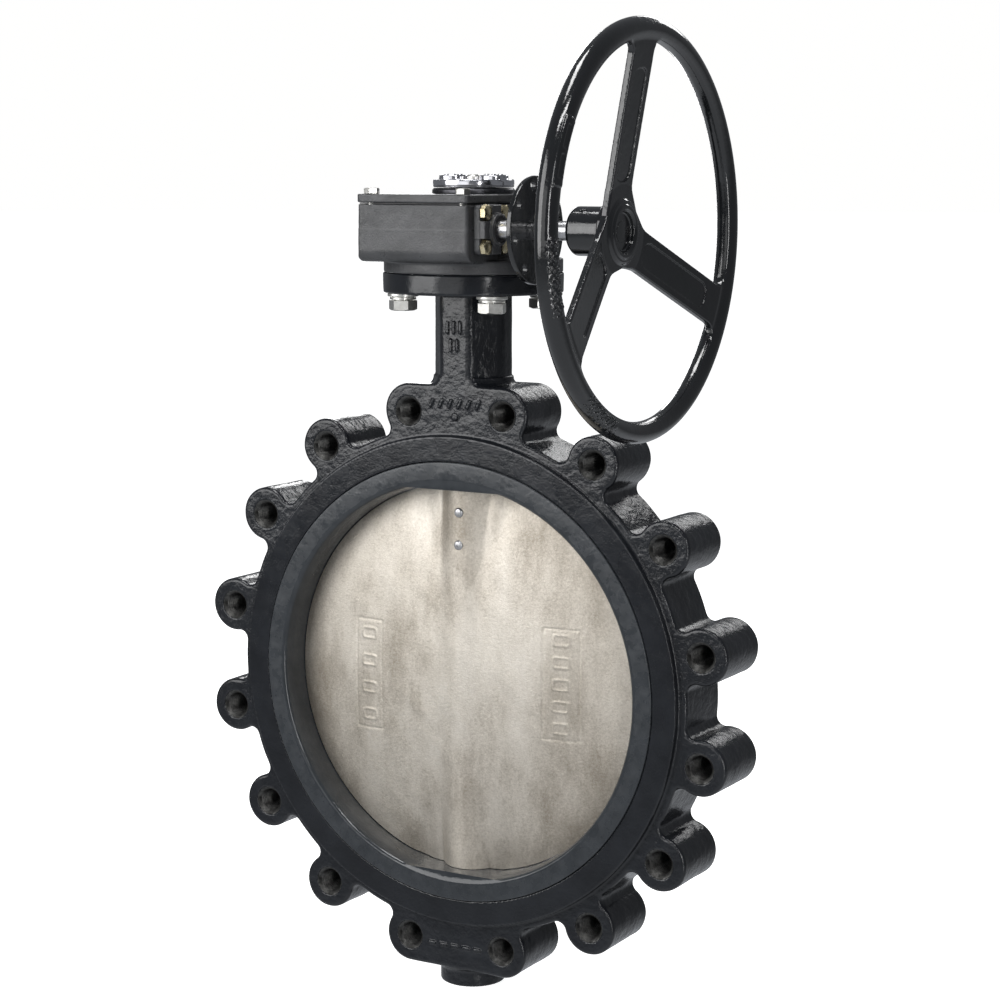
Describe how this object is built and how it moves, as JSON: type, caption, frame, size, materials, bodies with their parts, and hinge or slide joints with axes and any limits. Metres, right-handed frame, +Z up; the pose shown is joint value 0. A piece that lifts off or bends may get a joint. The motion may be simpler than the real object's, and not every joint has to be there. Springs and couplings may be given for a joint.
{
  "type": "lugged butterfly valve with worm gearbox",
  "caption": "Lugged butterfly valve with a rubber seat, a stainless disc, a worm gearbox and a spoked handwheel on its side.",
  "frame": {"origin": "centre of the waterway on the body's middle plane", "axes": "+Z up the stem to the gearbox, Y along the pipe with the front flange face at -Y, +X towards the handwheel"},
  "size_m": [0.5832, 0.381, 0.943],
  "materials": {
    "body_paint": "black coating over a cast surface, glossy",
    "gearbox_paint": "black paint over cast iron, satin",
    "handwheel_paint": "black enamel, high gloss",
    "rubber": "moulded rubber, satin",
    "disc_steel": "cast stainless steel, bead blasted",
    "stem_steel": "turned steel",
    "bronze": "turned bronze",
    "seal": "plain rubber",
    "bare_iron": "bare iron",
    "zinc": "bright zinc plating",
    "gold_zinc": "yellow zinc plating",
    "indicator_base": "dark, satin",
    "indicator_chrome": "bright plated metal"
  },
  "bodies": {
    "valve": {"valve_body": "body_paint", "seat_liner": "rubber", "lower_stem_bushing": "bronze", "middle_stem_bushing": "bronze", "upper_stem_bushing": "bronze", "stem_packing": "seal", "stem_gland_ring": "stem_steel", "bottom_plug": "bare_iron", "gearbox_housing": "gearbox_paint", "cover_gasket": "seal", "gearbox_cover": "gearbox_paint", "cover_stem_seal": "seal", "worm_bearing_inner": "stem_steel", "worm_bearing_outer": "stem_steel", "input_bearing_cap": "gearbox_paint", "input_oil_seal": "seal", "stop_screw_closed": "zinc", "stop_screw_open": "zinc", "stop_nut_closed": "zinc", "stop_nut_open": "zinc", "indicator_dial": "indicator_base", "cap_bolt_1": "gold_zinc", "cover_bolt_1": "zinc", "mounting_bolt_1": "zinc", "mounting_washer_1": "zinc", "mounting_lock_washer_1": "zinc", "cap_bolt_2": "gold_zinc", "cover_bolt_2": "zinc", "mounting_bolt_2": "zinc", "mounting_washer_2": "zinc", "mounting_lock_washer_2": "zinc", "cap_bolt_3": "gold_zinc", "cover_bolt_3": "zinc", "mounting_bolt_3": "zinc", "mounting_washer_3": "zinc", "mounting_lock_washer_3": "zinc", "cap_bolt_4": "gold_zinc", "cover_bolt_4": "zinc", "mounting_bolt_4": "zinc", "mounting_washer_4": "zinc", "mounting_lock_washer_4": "zinc"},
    "disc_assembly": {"disc": "disc_steel", "stem": "stem_steel", "stem_key": "stem_steel", "disc_taper_pin_upper": "stem_steel", "disc_taper_pin_lower": "stem_steel", "worm_wheel": "bare_iron", "position_indicator": "indicator_chrome", "indicator_screw": "zinc"},
    "input_assembly": {"worm_shaft": "stem_steel", "lock_plate": "gearbox_paint", "handwheel": "handwheel_paint", "handwheel_pin": "stem_steel"}
  },
  "joints": [
    {"name": "disc_turn", "type": "hinge", "parent": "valve", "child": "disc_assembly", "pos_m": [0, 0, 0], "axis": [0, 0, 1], "range_deg": [0, 90]},
    {"name": "handwheel_turn", "type": "hinge", "parent": "valve", "child": "input_assembly", "pos_m": [0, -0.068, 0.4425], "axis": [1, 0, 0], "range_deg": [0, 3240]}
  ],
  "couplings": [
    {"joint": "handwheel_turn", "follows": "disc_turn", "ratio": 36}
  ]
}
